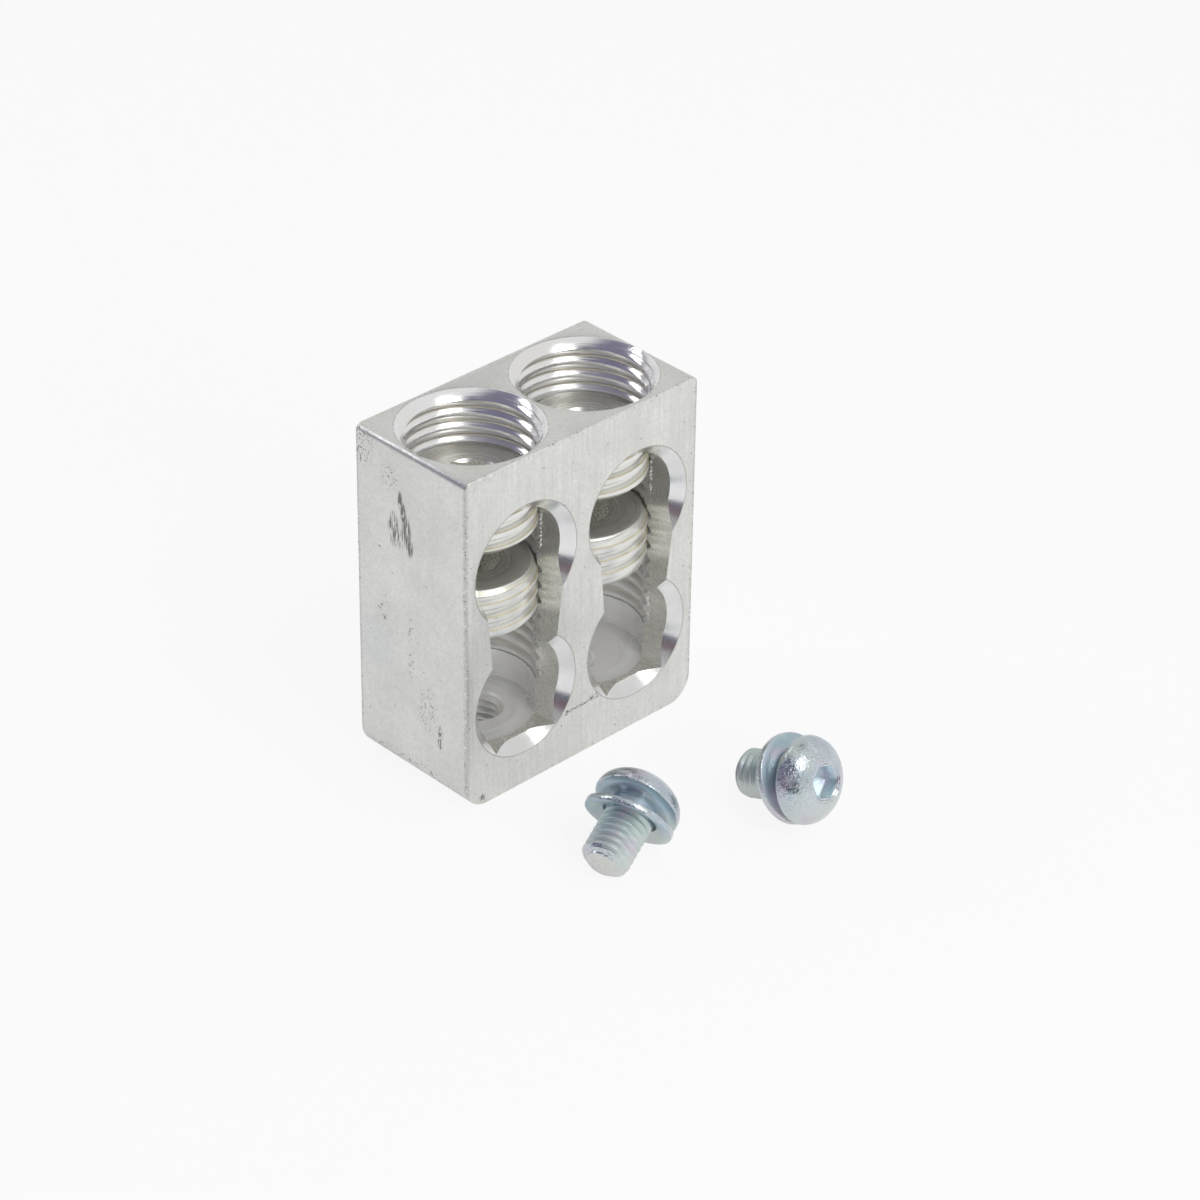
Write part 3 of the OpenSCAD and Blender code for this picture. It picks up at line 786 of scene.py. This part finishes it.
for side, (spot, heading) in lying.items():
    node = f"mounting_screw_{side}"
    rod = threaded_rod("shank", rolled_thread, shank_crest, shank_root, mount_pitch, -shank_length - 0.5,
                       0.5, 0, zinc_shank)
    wide = shank_crest + 0.1
    blank = [(0, -shank_length), (tip_radius - 0.12, -shank_length), (tip_radius, -shank_length + 0.08),
             (tip_radius + 0.1, -shank_length + 0.35),
             (shank_crest - 0.25, -shank_length + tip_chamfer - 0.1),
             (wide, -shank_length + tip_chamfer + 0.35), (wide, 0.4), (0, 0.4)]
    carve(rod, turned("blank", blank, zinc_shank), "INTERSECT")
    neck = [(0, -3.3), (shank_root, -3.3), (shank_crest, -2.7), (shank_crest, 0.4), (0, 0.4)]
    carve(rod, turned("neck", neck, zinc_under), "UNION")
    rod.data.materials.append(zinc_head)
    rod.data.materials.append(zinc_tip)
    for face in rod.data.polygons:
        if face.center.z < -shank_length + tip_chamfer + 0.1 and face.normal.z < -0.3:
            face.material_index = len(rod.data.materials) - (1 if face.normal.z < -0.9 else 2)
    screw = turned(f"{node}_rolled", head_outline, zinc_head)
    screw.data.materials.append(zinc_under)
    for face in screw.data.polygons:
        if face.center.z < 0.01:
            face.material_index = 1
    carve(screw, rod, "UNION")
    lead = [(0, head_height - 0.3), (2.8, head_height - 0.3), (3.22, head_height + 0.1),
            (0, head_height + 0.1)]
    socket_floor = head_height - head_socket_depth
    pit = [(0, socket_floor - 0.9), (2.2, socket_floor + 0.05), (0, socket_floor + 0.05)]
    key = drawn("key", hexagon(head_flats, key_turn[side]), socket_floor, head_height + 1, zinc_socket, "Z")
    for tool in (key, turned("lead", lead, zinc_head, 72), turned("pit", pit, zinc_socket, 36)):
        carve(screw, tool)
    lift = (shank_length - tip_chamfer) * math.sin(screw_tilt) + shank_crest * math.cos(screw_tilt)
    pose = (Matrix.Translation(spot + Vector((0, 0, lift))) @ Matrix.Rotation(heading, 4, "Z")
            @ Matrix.Rotation(math.pi / 2 - screw_tilt, 4, "Y"))
    place(screw, pose)
    finished(screw)
    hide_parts(node)
    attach(screw, "lug")

# Conical washers
# Spring steel washers pressed into a low cone that rises towards the screw's head, plated
# like the screws; each hangs loose on its shank and stands on its rim.
washer_radius = 7.25
washer_hole = 4.5
washer_rim = 1.15
washer_height = 1.85
width = washer_radius - washer_hole
washer_outline = [(washer_radius - 0.2, 0), (washer_radius - 0.06, 0.06), (washer_radius, 0.2),
                  (washer_radius, washer_rim - 0.22), (washer_radius - 0.06, washer_rim - 0.07),
                  (washer_radius - 0.2, washer_rim), (washer_hole + 0.62 * width, washer_rim + 0.12),
                  (washer_hole + 0.45 * width, washer_rim + 0.26),
                  (washer_hole + 0.3 * width, washer_rim + 0.45),
                  (washer_hole + 0.18 * width, washer_height - 0.1),
                  (washer_hole + 0.1 * width, washer_height - 0.01),
                  (washer_hole + 0.03 * width, washer_height - 0.03), (washer_hole, washer_height - 0.12),
                  (washer_hole, washer_height - washer_rim + 0.1),
                  (washer_hole + 0.3 * width, washer_height - washer_rim - 0.25),
                  (washer_hole + 0.62 * width, 0.08)]
for side, (spot, heading) in lying.items():
    node = f"conical_washer_{side}"
    ring = bmesh.new()
    loops = []
    for i in range(96):
        a = 2 * math.pi * i / 96
        loops.append([ring.verts.new((r * math.cos(a), r * math.sin(a), z)) for r, z in washer_outline])
    for i, loop in enumerate(loops):
        following = loops[(i + 1) % len(loops)]
        for j in range(len(washer_outline)):
            k = (j + 1) % len(washer_outline)
            ring.faces.new((loop[j], following[j], following[k], loop[k]))
    washer = solid(f"{node}_pressed", ring, zinc_under, zinc_head)
    hung = Vector((-washer_offset * math.cos(screw_tilt), 0, washer_radius * math.cos(washer_tilt)))
    pose = (Matrix.Translation(spot) @ Matrix.Rotation(heading, 4, "Z") @ Matrix.Translation(hung)
            @ Matrix.Rotation(math.pi / 2 - washer_tilt, 4, "Y"))
    place(washer, pose)
    finished(washer, 40)
    for face in washer.data.polygons:
        if face.index % len(washer_outline) in (1, 2, 3, 4):
            face.material_index = 1
    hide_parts(node)
    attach(washer, "lug")

# Studio
# A white sweep under soft lamps, with the camera at the photograph's angle and distance.
paper = bpy.data.materials.new("white_paper")
paper.use_nodes = True
paper_tree = paper.node_tree
path = paper_tree.nodes.new("ShaderNodeLightPath")
seen = paper_tree.nodes.new("ShaderNodeMath")
seen.operation = "MAXIMUM"
glow = paper_tree.nodes.new("ShaderNodeEmission")
mixed = paper_tree.nodes.new("ShaderNodeMixShader")
matte = paper_tree.nodes["Principled BSDF"]
matte.inputs["Base Color"].default_value = (0.92, 0.92, 0.92, 1)
matte.inputs["Roughness"].default_value = 0.9
matte.inputs["Specular IOR Level"].default_value = 0.1
for ray, share, socket in (("Is Camera Ray", 0.88, 0), ("Is Glossy Ray", 0.45, 1)):
    white_share = paper_tree.nodes.new("ShaderNodeMath")
    white_share.operation = "MULTIPLY"
    white_share.inputs[1].default_value = share
    paper_tree.links.new(path.outputs[ray], white_share.inputs[0])
    paper_tree.links.new(white_share.outputs[0], seen.inputs[socket])
paper_tree.links.new(seen.outputs[0], mixed.inputs[0])
paper_tree.links.new(matte.outputs[0], mixed.inputs[1])
paper_tree.links.new(glow.outputs[0], mixed.inputs[2])
paper_tree.links.new(mixed.outputs[0], paper_tree.nodes["Material Output"].inputs["Surface"])
floor = drawn("floor", [(-3, -3), (3, -3), (3, 3), (-3, 3)], -0.02, 0.0, paper, "Z")

world = bpy.data.worlds.new("studio")
bpy.context.scene.world = world
world.use_nodes = True
sky = world.node_tree
background = sky.nodes["Background"]
background.inputs["Color"].default_value = (1, 1, 1, 1)
world_path = sky.nodes.new("ShaderNodeLightPath")
shown = sky.nodes.new("ShaderNodeMath")
shown.operation = "MAXIMUM"
sky.links.new(world_path.outputs["Is Camera Ray"], shown.inputs[0])
sky.links.new(world_path.outputs["Is Transmission Ray"], shown.inputs[1])
level = sky.nodes.new("ShaderNodeMapRange")
level.inputs["To Min"].default_value = 0.7
level.inputs["To Max"].default_value = 1.0
sky.links.new(shown.outputs[0], level.inputs["Value"])
towards = sky.nodes.new("ShaderNodeTexCoord").outputs["Generated"]
room = None
# Dark parts of the room: azimuth, elevation, inner and outer half angle in degrees, and colour.
dark_parts = ((165, 24, 46, 58, (0.22, 0.21, 0.31, 1)), (-133, 57, 7, 14, (0.10, 0.10, 0.18, 1)),
              (28, 61, 8, 18, (0.45, 0.45, 0.48, 1)))
for azimuth, elevation, inner, outer, tone in dark_parts:
    facing = sky.nodes.new("ShaderNodeVectorMath")
    facing.operation = "DOT_PRODUCT"
    a, e = math.radians(azimuth), math.radians(elevation)
    facing.inputs[1].default_value = (math.cos(a) * math.cos(e), math.sin(a) * math.cos(e), math.sin(e))
    sky.links.new(towards, facing.inputs[0])
    spread = sky.nodes.new("ShaderNodeMapRange")
    spread.inputs["From Min"].default_value = math.cos(math.radians(outer))
    spread.inputs["From Max"].default_value = math.cos(math.radians(inner))
    sky.links.new(facing.outputs["Value"], spread.inputs["Value"])
    blend = sky.nodes.new("ShaderNodeMixRGB")
    blend.inputs["Color1"].default_value = (1, 1, 1, 1)
    blend.inputs["Color2"].default_value = tone
    sky.links.new(spread.outputs[0], blend.inputs["Fac"])
    if room is not None:
        sky.links.new(room, blend.inputs["Color1"])
    room = blend.outputs[0]
plain = sky.nodes.new("ShaderNodeMixRGB")
plain.inputs["Color2"].default_value = (1, 1, 1, 1)
sky.links.new(shown.outputs[0], plain.inputs["Fac"])
sky.links.new(room, plain.inputs["Color1"])
sky.links.new(plain.outputs[0], background.inputs["Color"])
sky.links.new(level.outputs[0], background.inputs["Strength"])


def lamp(name, place_at, aim, size, power):
    light = bpy.data.lights.new(name, "AREA")
    light.shape = "RECTANGLE"
    light.size, light.size_y = size
    light.energy = power
    holder = bpy.data.objects.new(name, light)
    bpy.context.scene.collection.objects.link(holder)
    holder.location = place_at
    holder.rotation_euler = (Vector(aim) - Vector(place_at)).to_track_quat("-Z", "Y").to_euler()
    return holder


# The key box stands high to the right of the camera, a narrow one behind the left side
# brightens the top edge, a low one in front reaches into the ports, and the world fills the rest.
lamp("key_box", (0.037, -0.42, 0.58), (0, 0, 0.02), (0.3, 0.3), 0.75)
lamp("edge_box", (-0.26, 0.42, 0.40), (0, 0, 0.04), (0.12, 0.3), 0.35)
fill = lamp("front_fill", (-0.1, -0.6, 0.2), (0, 0, 0.03), (0.4, 0.3), 1.2)
fill.visible_glossy = False

# Dark cards low in front of the block and a grey one above them, seen only in the polished metal.
card_spot = Vector((-0.131, -0.151, 0))
across = Vector((0.755, -0.656, 0))
cards = (("card_lower", 0.010, 0.038, 0.10, (0.08, 0.10, 0.14, 1)),
         ("card_upper", 0.038, 0.078, 0.10, (0.16, 0.09, 0.12, 1)),
         ("card_top", 0.078, 0.150, 0.12, (0.5, 0.5, 0.5, 1)))
for name, low, high, half, tone in cards:
    card_paint = bpy.data.materials.new(name)
    card_paint.use_nodes = True
    card_shader = card_paint.node_tree.nodes["Principled BSDF"]
    card_shader.inputs["Base Color"].default_value = tone
    card_shader.inputs["Roughness"].default_value = 0.9
    corners = [card_spot + across * a + card_spot.normalized() * b
               for a, b in ((-half, 0), (half, 0), (half, 0.002), (-half, 0.002))]
    card = drawn(name, [(c.x, c.y) for c in corners], low, high, card_paint, "Z")
    card.visible_camera = card.visible_diffuse = card.visible_shadow = card.visible_transmission = False

# The camera stands where the fitted edges of the block say the photograph was taken.
camera_spot = Vector((-385.4, -412.3, 386.6)) * MM
camera_azimuth = math.radians(-44.237)
camera_elevation = math.radians(32.77)
camera_roll = math.radians(0.839)
picture_width = 1200
focal_pixels = 4225.4
lens = bpy.data.cameras.new("camera")
lens.sensor_fit = "HORIZONTAL"
lens.sensor_width = 36
lens.lens = focal_pixels / picture_width * lens.sensor_width
lens.clip_start = 0.01
camera = bpy.data.objects.new("camera", lens)
bpy.context.scene.collection.objects.link(camera)
camera.matrix_world = (Matrix.Translation(camera_spot) @ Matrix.Rotation(camera_azimuth, 4, "Z")
                       @ Matrix.Rotation(math.pi / 2 - camera_elevation, 4, "X")
                       @ Matrix.Rotation(camera_roll, 4, "Z"))
bpy.context.scene.camera = camera
bpy.context.scene.view_settings.view_transform = "Standard"
